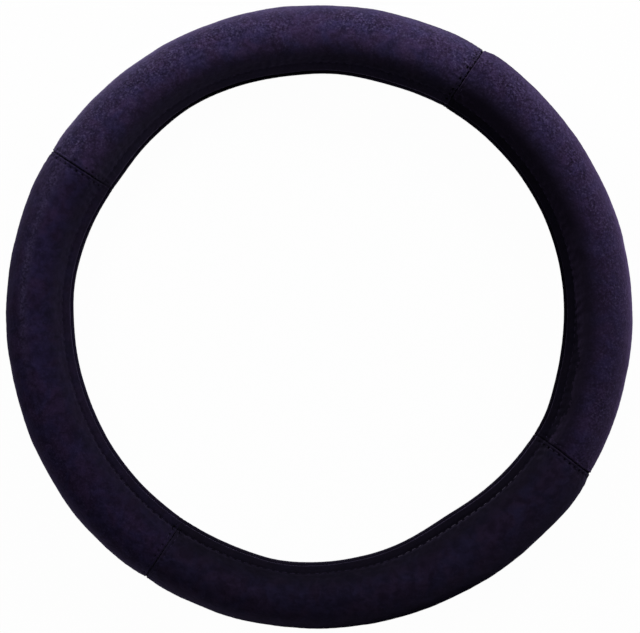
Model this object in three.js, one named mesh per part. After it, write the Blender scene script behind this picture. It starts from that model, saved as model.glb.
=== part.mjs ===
// Slip-on steering wheel cover: a moulded rubber ring grips the rim, four padded velour panels are
// stretched round it, sewn end to end and hemmed over the ring's two lips.
// Millimetres, +Z up. The cover lies flat: the ring's axis is Z, the floor is z = 0, and the side that
// faces the driver is up. A bearing is counted in degrees anticlockwise from +X.
import * as THREE from "three";

// Size of the whole cover.
const OUTER_DIAMETER = 390;

// Section of the tube: a round channel for the rim that opens towards the hub between two lips.
const CHANNEL_RADIUS = 16;
const CHANNEL_HALF_ANGLE = 125;
const LIP_LENGTH = 9.2;

// Layers, from the channel outwards.
const GRIP_WALL = 2.2;
const FOAM_THICKNESS = 2.4;
const VELOUR_THICKNESS = 1.2;
const LAYER_CLEARANCE = 0.3;

// Anti-slip ribs that run round the inside of the channel.
const RIB_HEIGHT = 0.8;
const RIB_HALF_ANGLE = 4;
const RIB_ANGLES = [-90, 0, 90];

// Hem: the velour comes down off the foam, is stitched in a groove and rolls round the lip.
const FOAM_HALF_ANGLE = 113;
const HEM_SHOULDER_DROP = 1.4;
const HEM_STITCH_FROM_TIP = 4.7;
const HEM_GROOVE_THICKNESS = 0.9;
const HEM_BAND_THICKNESS = 1.6;
const HEM_RETURN = 7;
const HEM_ROLL = 1.5;

// Cross seams between the panels. A lean is how far, in degrees, the seam runs on at the inner edge.
const SEAMS = [
  { bearing: 58.5, lean: 0 },
  { bearing: 148.3, lean: 0 },
  { bearing: 236.8, lean: 0 },
  { bearing: 330, lean: 2 },
];
const PANEL_NAMES = ["top", "left", "bottom", "right"];
const SEAM_LEAN_SPREAD = 14;
const SEAM_CLEARANCE = 0.3;
const SEAM_EDGE_DROP = 1.5;
const SEAM_RIDGE_AT = 0.9;
const SEAM_RIDGE_DROP = 0.2;
const SEAM_STITCH_AT = 2.2;
const SEAM_STITCH_DROP = 0.8;
const SEAM_ALLOWANCE = 8;
const SEAM_ALLOWANCE_THICKNESS = 3.4;
const ALLOWANCE_END_STEP = 0.6;

// The relaxed cover isn't a true circle: how far its outer edge and its lips stand out from one,
// and over how many degrees.
const OUTER_EDGE_LOBES = [
  { bearing: 20, reach: 0.5, spread: 25 },
  { bearing: 55, reach: 1.4, spread: 7 },
  { bearing: 88, reach: -1.1, spread: 22 },
  { bearing: 152, reach: 1.1, spread: 12 },
  { bearing: 195, reach: -0.6, spread: 9 },
  { bearing: 224, reach: 0.8, spread: 17 },
  { bearing: 292, reach: -0.9, spread: 24 },
  { bearing: 326, reach: 1.1, spread: 8 },
];
const LIP_LOBES = [
  { bearing: 22, reach: 1.2, spread: 26 },
  { bearing: 74, reach: -1.3, spread: 11 },
  { bearing: 97, reach: -1.1, spread: 9 },
  { bearing: 121, reach: 0.7, spread: 9 },
  { bearing: 145, reach: -1.4, spread: 10 },
  { bearing: 172, reach: 1.3, spread: 13 },
  { bearing: 262, reach: 1.9, spread: 11 },
  { bearing: 303, reach: -4.6, spread: 15 },
  { bearing: 336, reach: 1.4, spread: 7 },
];

// Fineness of the facets.
const ARC_STEP = 22.5;
const SPANS_PER_PANEL = 12;

// Depths are counted outwards from the wall of the channel.
const FOAM_INSIDE = GRIP_WALL + LAYER_CLEARANCE;
const FOAM_OUTSIDE = FOAM_INSIDE + FOAM_THICKNESS;
const VELOUR_INSIDE = FOAM_OUTSIDE + LAYER_CLEARANCE;
const VELOUR_OUTSIDE = VELOUR_INSIDE + VELOUR_THICKNESS;
const HEM_INSIDE = GRIP_WALL + LAYER_CLEARANCE;
const ALLOWANCE_INSIDE = Math.max(HEM_INSIDE, VELOUR_OUTSIDE - SEAM_ALLOWANCE_THICKNESS);

// The section's facets lie flat at the tube's foot, its top and its outer edge.
const TUBE_RADIUS = CHANNEL_RADIUS + VELOUR_OUTSIDE;
const TUBE_HALF_WIDTH = TUBE_RADIUS * Math.cos(THREE.MathUtils.degToRad(ARC_STEP / 2));
const CENTRE_RADIUS = OUTER_DIAMETER / 2 - TUBE_HALF_WIDTH;
const CENTRE_HEIGHT = TUBE_HALF_WIDTH;

const FULL_TURN = 360;
const radians = THREE.MathUtils.degToRad;

// Angle from one bearing to another, between -180 and 180 degrees.
function turnTo(from, to) {
  return THREE.MathUtils.euclideanModulo(to - from + FULL_TURN / 2, FULL_TURN) - FULL_TURN / 2;
}

function bell(distance, spread) {
  return Math.exp(-((distance / spread) ** 2));
}

function standOut(lobes, bearing) {
  return lobes.reduce(
    (sum, lobe) => sum + lobe.reach * bell(turnTo(lobe.bearing, bearing), lobe.spread),
    0,
  );
}

// Angle round the ring, in degrees, that a length along the tube's centre line spans.
function lengthToAngle(length) {
  return THREE.MathUtils.radToDeg(length / CENTRE_RADIUS);
}

// A point of the tube's section. angle is counted round the channel from its outermost point, lip is
// how far the point lies past the end of the arc along the straight lip, and side is 1 for the
// driver's side and -1 for the dashboard's.
function sectionPoint({ angle, lip = 0, depth, side }) {
  const along = radians(angle);
  const radius = CHANNEL_RADIUS + depth;
  return new THREE.Vector2(
    radius * Math.cos(along) - lip * Math.sin(along),
    side * (radius * Math.sin(along) + lip * Math.cos(along)),
  );
}

// Puts a section point into the relaxed cover, where all layers bulge and lean together.
function placed(point, bearing) {
  const rise = THREE.MathUtils.smoothstep(point.x, -TUBE_RADIUS, TUBE_RADIUS);
  const bulge = THREE.MathUtils.lerp(
    standOut(LIP_LOBES, bearing),
    standOut(OUTER_EDGE_LOBES, bearing),
    rise,
  );
  const lean = SEAMS.reduce(
    (sum, seam) => sum + seam.lean * bell(turnTo(seam.bearing, bearing), SEAM_LEAN_SPREAD),
    0,
  );
  const turn = radians(bearing + lean * (0.5 - rise));
  const radius = CENTRE_RADIUS + point.x + bulge;
  return new THREE.Vector3(
    radius * Math.cos(turn),
    radius * Math.sin(turn),
    CENTRE_HEIGHT + point.y,
  );
}

// Lofts a closed body through sections, each a closed outline of the same number of points taken
// anticlockwise. A ring joins its last section to its first, and a strip is capped at both ends.
function loft(stations, isRing) {
  const count = stations[0].outline.length;
  const positions = stations.flatMap(({ bearing, outline }) =>
    outline.flatMap((point) => placed(point, bearing).toArray()),
  );
  const triangles = [];
  const spans = isRing ? stations.length : stations.length - 1;
  for (let i = 0; i < spans; i += 1) {
    const here = i * count;
    const there = ((i + 1) % stations.length) * count;
    for (let j = 0; j < count; j += 1) {
      const next = (j + 1) % count;
      triangles.push(here + j, there + j, there + next);
      triangles.push(here + j, there + next, here + next);
    }
  }
  if (!isRing) {
    const last = (stations.length - 1) * count;
    THREE.ShapeUtils.triangulateShape(stations[0].outline, []).forEach(([a, b, c]) => {
      triangles.push(a, b, c);
    });
    THREE.ShapeUtils.triangulateShape(stations.at(-1).outline, []).forEach(([a, b, c]) => {
      triangles.push(last + a, last + c, last + b);
    });
  }
  const geometry = new THREE.BufferGeometry();
  geometry.setAttribute("position", new THREE.Float32BufferAttribute(positions, 3));
  geometry.setIndex(triangles);
  geometry.computeVertexNormals();
  return geometry;
}

// Angles of the points on one half of an arc, from its outermost facet up to a limit.
function arcAngles(limit) {
  const angles = [];
  for (let angle = ARC_STEP / 2; angle < limit - ARC_STEP / 4; angle += ARC_STEP) {
    angles.push(angle);
  }
  return angles;
}

function arc(limit, depth) {
  return arcAngles(limit).map((angle) => ({ angle, depth }));
}

// Closes a section from its driver's half: the outside is listed from the outermost point to the tip
// of the lip, and the inside back from there.
function closedOutline(outside, inside) {
  const half = (stops, side) => stops.map((stop) => sectionPoint({ ...stop, side }));
  return [
    ...half(outside, -1).reverse(),
    ...half(outside, 1),
    ...half(inside, 1),
    ...half(inside, -1).reverse(),
  ];
}

function gripOutline() {
  const tip = { angle: CHANNEL_HALF_ANGLE, lip: LIP_LENGTH, depth: GRIP_WALL / 2 };
  const tipStart = LIP_LENGTH - GRIP_WALL / 2;
  const outside = [
    ...arc(CHANNEL_HALF_ANGLE, GRIP_WALL),
    { angle: CHANNEL_HALF_ANGLE, depth: GRIP_WALL },
    { angle: CHANNEL_HALF_ANGLE, lip: tipStart, depth: GRIP_WALL },
    tip,
  ];
  const wall = [
    ...arc(CHANNEL_HALF_ANGLE, 0),
    { angle: CHANNEL_HALF_ANGLE, depth: 0 },
    { angle: CHANNEL_HALF_ANGLE, lip: tipStart, depth: 0 },
  ];
  const ribs = RIB_ANGLES.filter((angle) => angle > 0).flatMap((angle) => [
    { angle: angle - RIB_HALF_ANGLE, depth: 0 },
    { angle, depth: -RIB_HEIGHT },
    { angle: angle + RIB_HALF_ANGLE, depth: 0 },
  ]);
  const middleRib = RIB_ANGLES.includes(0)
    ? [
        { angle: 0, depth: -RIB_HEIGHT },
        { angle: RIB_HALF_ANGLE, depth: 0 },
      ]
    : [];
  const inside = [...middleRib, ...wall, ...ribs].sort(
    (a, b) => b.angle - a.angle || (b.lip ?? 0) - (a.lip ?? 0),
  );
  const outline = closedOutline(outside, inside);
  return outline.filter((point, i) => point.distanceTo(outline[(i + 1) % outline.length]) > 1e-6);
}

function foamOutline() {
  const outside = [
    ...arc(FOAM_HALF_ANGLE, FOAM_OUTSIDE),
    { angle: FOAM_HALF_ANGLE, depth: FOAM_OUTSIDE },
  ];
  const inside = [
    { angle: FOAM_HALF_ANGLE, depth: FOAM_INSIDE },
    ...arc(FOAM_HALF_ANGLE, FOAM_INSIDE).reverse(),
  ];
  return closedOutline(outside, inside);
}

// One velour panel's section, drop below its full height and with its padded stretch lined down to
// liningDepth: the cloth itself over the foam, or the turned-in seam allowance at the ends.
function velourOutline(drop, liningDepth) {
  const face = VELOUR_OUTSIDE - drop;
  const arcEnd = CHANNEL_HALF_ANGLE;
  const foldInside = LIP_LENGTH + LAYER_CLEARANCE;
  const tip = foldInside + HEM_ROLL;
  const stitchAt = tip - HEM_STITCH_FROM_TIP - HEM_ROLL;
  const bandFace = HEM_INSIDE + HEM_BAND_THICKNESS;
  const returnInside = -LAYER_CLEARANCE;
  const returnFace = returnInside - VELOUR_THICKNESS;
  const returnEnd = foldInside - HEM_RETURN;
  const outside = [
    ...arc(FOAM_HALF_ANGLE, face),
    { angle: FOAM_HALF_ANGLE, depth: face },
    { angle: arcEnd, depth: face - HEM_SHOULDER_DROP },
    { angle: arcEnd, lip: stitchAt, depth: HEM_INSIDE + HEM_GROOVE_THICKNESS },
    { angle: arcEnd, lip: (stitchAt + foldInside) / 2, depth: bandFace },
    { angle: arcEnd, lip: foldInside + HEM_ROLL / 3, depth: HEM_INSIDE + VELOUR_THICKNESS },
    { angle: arcEnd, lip: tip, depth: GRIP_WALL - LAYER_CLEARANCE },
    { angle: arcEnd, lip: tip, depth: LAYER_CLEARANCE },
    { angle: arcEnd, lip: foldInside + HEM_ROLL / 3, depth: returnFace },
    { angle: arcEnd, lip: returnEnd, depth: returnFace },
  ];
  const inside = [
    { angle: arcEnd, lip: returnEnd, depth: returnInside },
    { angle: arcEnd, lip: foldInside, depth: returnInside },
    { angle: arcEnd, lip: foldInside, depth: HEM_INSIDE },
    { angle: arcEnd, lip: stitchAt, depth: HEM_INSIDE },
    { angle: arcEnd, lip: LAYER_CLEARANCE, depth: HEM_INSIDE },
    { angle: FOAM_HALF_ANGLE, depth: liningDepth },
    ...arc(FOAM_HALF_ANGLE, liningDepth).reverse(),
  ];
  return closedOutline(outside, inside);
}

// The panel after a seam runs from it to the next seam.
function panelEnds(index) {
  const start = SEAMS[index].bearing;
  const end = start + THREE.MathUtils.euclideanModulo(
    SEAMS[(index + 1) % SEAMS.length].bearing - start,
    FULL_TURN,
  );
  return { start, end };
}

// Bearings that divide the padded stretch of a panel evenly, the same for every layer.
function paddedBearings(index) {
  const { start, end } = panelEnds(index);
  const margin = lengthToAngle(SEAM_CLEARANCE / 2 + SEAM_ALLOWANCE + ALLOWANCE_END_STEP);
  const first = start + margin;
  const span = (end - margin - first) / SPANS_PER_PANEL;
  return Array.from({ length: SPANS_PER_PANEL + 1 }, (_, i) => first + i * span);
}

function velourPanel(index) {
  const { start, end } = panelEnds(index);
  const seamStops = [
    { at: 0, drop: SEAM_EDGE_DROP },
    { at: SEAM_RIDGE_AT, drop: SEAM_RIDGE_DROP },
    { at: SEAM_STITCH_AT, drop: SEAM_STITCH_DROP },
    { at: SEAM_ALLOWANCE, drop: 0 },
  ].map(({ at, drop }) => ({
    margin: lengthToAngle(SEAM_CLEARANCE / 2 + at),
    outline: velourOutline(drop, ALLOWANCE_INSIDE),
  }));
  const padded = velourOutline(0, VELOUR_INSIDE);
  return loft(
    [
      ...seamStops.map(({ margin, outline }) => ({ bearing: start + margin, outline })),
      ...paddedBearings(index).map((bearing) => ({ bearing, outline: padded })),
      ...seamStops.map(({ margin, outline }) => ({ bearing: end - margin, outline })).reverse(),
    ],
    false,
  );
}

function foamStrip(index) {
  const bearings = paddedBearings(index);
  const endGap = lengthToAngle(LAYER_CLEARANCE);
  bearings[0] += endGap;
  bearings[bearings.length - 1] -= endGap;
  const outline = foamOutline();
  return loft(bearings.map((bearing) => ({ bearing, outline })), false);
}

function gripRing() {
  const outline = gripOutline();
  const bearings = SEAMS.flatMap((seam, index) => [seam.bearing, ...paddedBearings(index)]);
  return loft(bearings.map((bearing) => ({ bearing, outline })), true);
}

const velour = new THREE.MeshStandardMaterial({ color: 0x2a2338, roughness: 0.95, metalness: 0 });
const foam = new THREE.MeshStandardMaterial({ color: 0x4a4a4e, roughness: 1, metalness: 0 });
const rubber = new THREE.MeshStandardMaterial({ color: 0x17171a, roughness: 0.75, metalness: 0 });

function named(name, geometry, material) {
  const mesh = new THREE.Mesh(geometry, material);
  mesh.name = name;
  return mesh;
}

const cover = new THREE.Group();
cover.name = "steering_wheel_cover";
cover.add(named("rubber_grip_ring", gripRing(), rubber));
PANEL_NAMES.forEach((place, index) => {
  cover.add(named(`velour_panel_${place}`, velourPanel(index), velour));
  cover.add(named(`foam_strip_${place}`, foamStrip(index), foam));
});

export default cover;
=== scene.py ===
"""Dresses a slip-on steering wheel cover: four velour panels, padded with foam, sewn end to end and
hemmed over a ribbed rubber ring that grips the wheel's rim.

Metres, +Z up. The cover lies flat round the Z axis, the photograph's top is +Y, and the camera looks
straight down. A bearing is counted in degrees anticlockwise from +X."""

import math

import bpy
import numpy as np
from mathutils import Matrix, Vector


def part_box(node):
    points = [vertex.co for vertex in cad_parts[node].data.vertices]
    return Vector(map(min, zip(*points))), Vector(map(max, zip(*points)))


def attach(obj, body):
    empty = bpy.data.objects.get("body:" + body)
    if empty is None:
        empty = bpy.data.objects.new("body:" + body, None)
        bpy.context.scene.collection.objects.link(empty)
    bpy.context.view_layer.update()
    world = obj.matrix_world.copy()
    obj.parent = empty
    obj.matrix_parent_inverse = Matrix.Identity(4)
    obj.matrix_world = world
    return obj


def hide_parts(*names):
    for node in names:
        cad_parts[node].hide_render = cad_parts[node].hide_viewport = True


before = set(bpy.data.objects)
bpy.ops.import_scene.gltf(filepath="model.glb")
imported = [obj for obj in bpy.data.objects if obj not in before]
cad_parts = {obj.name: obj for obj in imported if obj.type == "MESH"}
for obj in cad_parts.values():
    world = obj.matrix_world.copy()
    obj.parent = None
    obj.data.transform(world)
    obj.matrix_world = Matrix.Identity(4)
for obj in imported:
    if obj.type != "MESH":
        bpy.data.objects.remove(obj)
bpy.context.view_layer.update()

MM = 0.001
FULL_TURN = 360.0

# The tube of the cover: its width, from the frame, and where the middle of its section lies.
TUBE_HALF_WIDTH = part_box("velour_panel_right")[1][2] / 2
CENTRE_HEIGHT = TUBE_HALF_WIDTH
CENTRE_RADIUS = 173.03 * MM

# Section: a round channel that opens towards the hub between two straight lips.
CHANNEL_RADIUS = 16.0 * MM
CHANNEL_HALF_ANGLE = math.radians(125)
LIP_LENGTH = 9.2 * MM
GRIP_WALL = 2.2 * MM
FOAM_THICKNESS = 2.4 * MM
CLOTH = 1.2 * MM
CLEARANCE = 0.3 * MM

# Depths are counted outwards from the wall of the channel.
FOAM_INSIDE = GRIP_WALL + CLEARANCE
FOAM_OUTSIDE = FOAM_INSIDE + FOAM_THICKNESS
CLOTH_INSIDE = FOAM_OUTSIDE + CLEARANCE
FACE = TUBE_HALF_WIDTH - CHANNEL_RADIUS
FOAM_HALF_ANGLE = math.radians(113)

# Length of the face from the tube's outer edge to where the lip begins.
ARC_LENGTH = TUBE_HALF_WIDTH * CHANNEL_HALF_ANGLE

# The mirrored halves of a hidden outline each begin this far from the tube's outer edge.
HALVES_MEET = 0.5 * MM

# Where a panel dips deep: how far its face stays above the foam's inside, and its own inside above
# the rubber and below the face.
LEAST_CLOTH = 0.2 * MM
LEAST_CLEARANCE = 0.1 * MM
INSIDE_UNDER_FACE = 0.7 * MM

# Hem along each lip, measured along the lip from the end of the channel's arc.
HEM_STITCH_AT = 4.7 * MM
HEM_BAND = 4.1 * MM
HEM_SHOULDER_FROM = -8.0 * MM
HEM_SHOULDER_TO = 5.5 * MM
HEM_GROOVE = 0.18 * MM
HEM_GROOVE_WIDTH = 1.0 * MM
# Painted shade along the hem line: how much, and how wide.
HEM_SHADE = 0.12
HEM_SHADE_WIDTH = 0.8 * MM
HEM_PITCH = 5.3 * MM
HEM_HOLE = 0.2 * MM
HEM_HOLE_WIDTH = 1.3 * MM
FOLD_AT = LIP_LENGTH + CLEARANCE
FOLD_REACH = 1.8 * MM
RETURN_END = FOLD_AT - 7.0 * MM

# Cross seams. A lean is how far, in degrees, the seam runs on at the inner edge.
SEAM_BEARINGS = (58.5, 148.3, 236.4, 330.6)
SEAM_LEANS = (0.5, 0.3, 0.0, 1.5)
SEAM_LEAN_SPREAD = 14.0
PANELS = ("top", "left", "bottom", "right")
SEAM_OVERLAP = 0.03 * MM
SEAM_GROOVE = 0.6 * MM
SEAM_GROOVE_WIDTH = 0.5 * MM
SEAM_RIDGE = 0.2 * MM
SEAM_RIDGE_AT = 1.1 * MM
SEAM_RIDGE_WIDTH = 0.5 * MM
TOPSTITCH_AT = 2.4 * MM
TOPSTITCH_VALLEY = 0.5 * MM
TOPSTITCH_WIDTH = 0.8 * MM
TOPSTITCH_PITCH = 4.2 * MM

# The topstitching pulls the face in by a share of its valley: so much between the needle holes, and
# so much more at them. Its pull is uneven.
PULL_BETWEEN_HOLES = 0.15
PULL_AT_HOLES = 1.2
PULL = 0.85
PULL_UNEVENNESS = 0.35

# How deep the padding dips towards the seam at each panel's first and last end, and from how far.
SEAM_DIPS = {
    "top": (0.9 * MM, 0.35 * MM),
    "left": (0.35 * MM, 0.3 * MM),
    "bottom": (0.25 * MM, 0.25 * MM),
    "right": (0.25 * MM, 0.9 * MM),
}
SEAM_DIP_WIDTHS = {
    "top": (8.0 * MM, 5.0 * MM),
    "left": (5.0 * MM, 5.0 * MM),
    "bottom": (5.0 * MM, 5.0 * MM),
    "right": (5.0 * MM, 3.5 * MM),
}

# How plainly the topstitching shows there, from 0 to 1.
STITCH_ROWS = {
    "top": (1.0, 0.5),
    "left": (0.8, 0.55),
    "bottom": (0.4, 0.9),
    "right": (0.4, 0.3),
}

# How wide the pile lies open along the seam there, painted in shade, at the outer edge and at the hem,
# with an uneven edge. A needle hole lies open and painted in shade too where the shade painted on it is
# darker than the limit.
SEAM_LINES = {
    "top": ((1.0 * MM, 0.6 * MM), (0.4 * MM, 0.5 * MM)),
    "left": ((0.3 * MM, 0.3 * MM), (0.0 * MM, 0.4 * MM)),
    "bottom": ((0.0 * MM, 0.3 * MM), (0.3 * MM, 0.3 * MM)),
    "right": ((0.5 * MM, 0.3 * MM), (0.6 * MM, 0.3 * MM)),
}
PARTING = 0.85
PARTING_UNEVENNESS = 0.45
PARTING_CROWDING = 1.6
OPEN_HOLE_SHADE_LIMIT = 0.6

# How much shade is painted on the pile beside the seam there, from 0 to 1, and how far that reaches.
SEAM_SHADES = {
    "top": (0.6, 0.3),
    "left": (0.3, 0.25),
    "bottom": (0.25, 0.2),
    "right": (0.45, 0.4),
}
SEAM_SHADE_WIDTH = 1.7 * MM

# How ruffled the pile is beside the seam at each panel's first and last end, from 0 to 1.
SEAM_RUFFLES = {
    "top": (1.0, 0.35),
    "left": (0.6, 0.25),
    "bottom": (0.25, 0.35),
    "right": (0.35, 0.4),
}
SEAM_RUFFLE_WIDTH = 10.0 * MM

# Where the hem is pulled in tighter: at a bearing, how many millimetres, and over how many degrees.
# More shade is painted on its line there, and its needle holes are pulled open, a little towards the
# face, with painted shade in them.
TIGHT_HEMS = ((232, 0.5, 28), (304, 0.55, 20))
TIGHT_HEM_SHADE = 1.1
OPEN_HOLE = 0.5 * MM
OPEN_HOLE_WIDTH = 1.5 * MM
OPEN_HOLE_BEFORE = 0.8 * MM
OPEN_HOLE_SHADE = 1.6

# Where the lip beyond the hem stitching lies in shade: at a bearing, how much, and over how many
# degrees.
SHADED_LIPS = ((304, 0.85, 24), (232, 0.3, 20))

# First and last bearing of the hem stitches with painted glints: a paler thread where they catch the
# light.
GLINT_PAINTED_HEM = (287, 323)

# Where the pile is paler, brushed the other way and partly painted light: at a bearing, how much, over
# how many degrees, and in millimetres how far from the outer edge and how wide.
BRUSHED_AND_LIT_PILE = (
    (47, 0.9, 8, 13, 9),
    (70, 0.3, 6, 13, 9),
    (126, 0.4, 7, 13, 9),
    (100, 0.3, 6, 13, 9),
    (20, 0.2, 8, 13, 9),
    (172, 0.8, 17, 25, 3),
    (153, 0.5, 6, 22, 8),
)

# Painted shade darkens the pile towards the hem, where it is also stretched and pressed flat: from
# where on, and where it is quite flat and fully shaded.
PRESSED_SHADE = {
    "top": (0.68 * ARC_LENGTH, 1.06 * ARC_LENGTH),
    "left": (0.64 * ARC_LENGTH, 1.02 * ARC_LENGTH),
    "bottom": (0.66 * ARC_LENGTH, 1.04 * ARC_LENGTH),
    "right": (0.6 * ARC_LENGTH, 0.95 * ARC_LENGTH),
}

# Painted shade on the right panel beyond the hem stitching: a darker copy of its velour that hardly
# shines. How far, in millimetres, that reaches on to its face at a bearing, over how many degrees, and
# how uneven its edge is.
DULL_SHADED_PILE = ((343, 7.0, 13),)
DULL_SHADED_PILE_WOBBLE = 0.2

# The pile stands up round the outer edge and lies flatter from there on.
UPRIGHT_TO = 0.45 * ARC_LENGTH
FLATTER_FROM = 0.72 * ARC_LENGTH
FLATTER_BY = 0.55

# Relief of the padded face, from its longest waves to its tufts.
SWELL_HEIGHT = 0.16 * MM
CREASE_HEIGHT = 0.1 * MM
TUFT_HEIGHT = 0.04 * MM
RUFFLED_TUFT_HEIGHT = 0.2 * MM

# Puckers beside the seams and the hem: how high, and where and over what width. They are closer
# together than the other waves.
SEAM_PUCKERS = 0.1 * MM
SEAM_PUCKERS_AT = 4.5 * MM
SEAM_PUCKERS_WIDTH = 3.5 * MM
HEM_PUCKERS = 0.14 * MM
HEM_PUCKERS_AT = 2.0 * MM
HEM_PUCKERS_WIDTH = 4.5 * MM
PUCKER_CROWDING = 1.4

# The cloth is drawn tight between these two places, measured as the hem's are. Tufts and ripples are
# lost there, and creases and seams lose a share of their relief.
TIGHT_FROM = -4.0 * MM
TIGHT_TO = 2.0 * MM
CREASES_LOST = 0.5
SEAMS_LOST = 0.45

# The relaxed cover isn't a true circle: how far, in millimetres, its outer edge and its lips stand
# out from one at a bearing, and over how many degrees.
OUTER_EDGE_LOBES = (
    (20, 0.5, 25),
    (55, 1.4, 7),
    (88, -1.1, 22),
    (152, 1.1, 12),
    (195, -0.6, 9),
    (224, 0.8, 17),
    (292, -0.9, 24),
    (326, 1.1, 8),
)
LIP_LOBES = (
    (22, 1.2, 26),
    (74, -1.3, 11),
    (97, -1.1, 9),
    (121, 0.7, 9),
    (145, -1.4, 10),
    (172, 1.3, 13),
    (262, 1.9, 11),
    (303, -4.6, 15),
    (336, 1.4, 7),
)


def turn_between(start, end):
    """Degrees from one bearing to another, between -180 and 180."""
    return (end - start + FULL_TURN / 2) % FULL_TURN - FULL_TURN / 2


def bell(distance, spread):
    """1 at no distance, falling off evenly on both sides."""
    return np.exp(-((distance / spread) ** 2))


def smooth(value, low, high):
    """Rises from 0 at low to 1 at high, level at both."""
    t = np.clip((value - low) / (high - low), 0, 1)
    return t * t * (3 - 2 * t)


def stand_out(lobes, bearing):
    """Distance that a ring of lobes stands out from the circle, in metres."""
    return sum(reach * MM * bell(turn_between(at, bearing), spread) for at, reach, spread in lobes)


class Ripples:
    """Smooth random relief: waves of about one length, in all directions of a surface."""

    SHORTEST = 0.7
    LONGEST = 1.5

    def __init__(self, seed, length, count=14):
        random = np.random.default_rng(seed)
        self.angles = random.uniform(0, math.tau, count)
        self.rates = math.tau / (length * random.uniform(self.SHORTEST, self.LONGEST, count))
        self.phases = random.uniform(0, math.tau, count)

    def at(self, along, across):
        total = 0
        for angle, rate, phase in zip(self.angles, self.rates, self.phases):
            way = along * math.cos(angle) + across * math.sin(angle)
            total = total + np.sin(rate * way + phase)
        return total / math.sqrt(len(self.angles))


def section(path, depth, side):
    """Radial and axial offsets of a point of the tube's section from the tube's centre.

    path runs along the tube's face, first round its arc and then along the lip, in metres; side is 1
    for the driver's side and -1 for the other."""
    angle = np.minimum(path, ARC_LENGTH) / TUBE_HALF_WIDTH
    lip = np.maximum(path - ARC_LENGTH, 0)
    radius = CHANNEL_RADIUS + depth
    outwards = radius * np.cos(angle) - lip * np.sin(angle)
    upwards = side * (radius * np.sin(angle) + lip * np.cos(angle))
    return outwards, upwards


def face_depth(lip):
    """Depth of the padded face and the hem, by distance past the end of the channel's arc."""
    return (
        FACE
        - (FACE - HEM_BAND) * smooth(lip, HEM_SHOULDER_FROM, HEM_SHOULDER_TO)
        - HEM_GROOVE * bell(lip - HEM_STITCH_AT, HEM_GROOVE_WIDTH)
    )


def placed(outwards, upwards, bearing):
    """Points of the relaxed cover, where all layers bulge and lean together."""
    rise = smooth(outwards, -TUBE_HALF_WIDTH, TUBE_HALF_WIDTH)
    bulge = (1 - rise) * stand_out(LIP_LOBES, bearing) + rise * stand_out(OUTER_EDGE_LOBES, bearing)
    lean = sum(
        tilt * bell(turn_between(at, bearing), SEAM_LEAN_SPREAD)
        for at, tilt in zip(SEAM_BEARINGS, SEAM_LEANS)
    )
    turn = np.radians(bearing + lean * (0.5 - rise))
    radius = CENTRE_RADIUS + outwards + bulge
    x = radius * np.cos(turn)
    y = radius * np.sin(turn)
    return np.stack(np.broadcast_arrays(x, y, CENTRE_HEIGHT + upwards), axis=-1)


def whole_outline(outside_count, half_count):
    """Order and sides of a whole outline's points, made from a half one that runs from the outer edge
    over the outside and back along the inside."""
    half = np.arange(half_count)
    outside = half[:outside_count]
    inside = half[outside_count:]
    order = np.concatenate([outside[::-1], outside, inside, inside[::-1]])
    side = np.repeat([-1, 1, 1, -1], [len(outside), len(outside), len(inside), len(inside)])
    return order, side


def loft_mesh(name, points, is_ring):
    """A closed mesh through sections: points is stations by section points by 3."""
    stations, count, _ = points.shape
    spans = stations if is_ring else stations - 1
    here = (np.arange(spans)[:, None] * count + np.arange(count)[None]).ravel()
    there = ((np.arange(spans)[:, None] + 1) % stations * count + np.arange(count)[None]).ravel()
    step = np.tile((np.arange(count) + 1) % count - np.arange(count), spans)
    quads = np.stack([here, there, there + step, here + step], axis=1)
    faces = quads.tolist()
    if not is_ring:
        faces.append(list(range(count)))
        faces.append(list(range((stations - 1) * count, stations * count))[::-1])
    mesh = bpy.data.meshes.new(name)
    mesh.from_pydata(points.reshape(-1, 3).tolist(), [], faces)
    mesh.shade_smooth()
    mesh.validate()
    return mesh


def show(name, mesh, material):
    mesh.materials.clear()
    mesh.materials.append(material)
    piece = bpy.data.objects.new(name, mesh)
    bpy.context.scene.collection.objects.link(piece)
    return piece


# Points of half a panel's outline: wide apart over the face, close together over its last stretch and
# the hem, then round the fold, along the return and over the hidden inside.
FACE_STEPS = 62
HEM_STRETCH = 5.0 * MM
HEM_STEPS = 28
FOLD_STEPS = 11
RETURN_STEPS = 5
HIDDEN_STEPS = 16

# A panel's sections, by distance from its seam in millimetres: close together where the groove and
# the needle holes are, wider over the dip in the padding, and even over the rest.
GROOVE_SECTIONS = np.arange(0.15, 5.0, 0.22)
DIP_SECTIONS = np.arange(5.0, 14.0, 0.6)
REST_SECTIONS = 228


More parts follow.
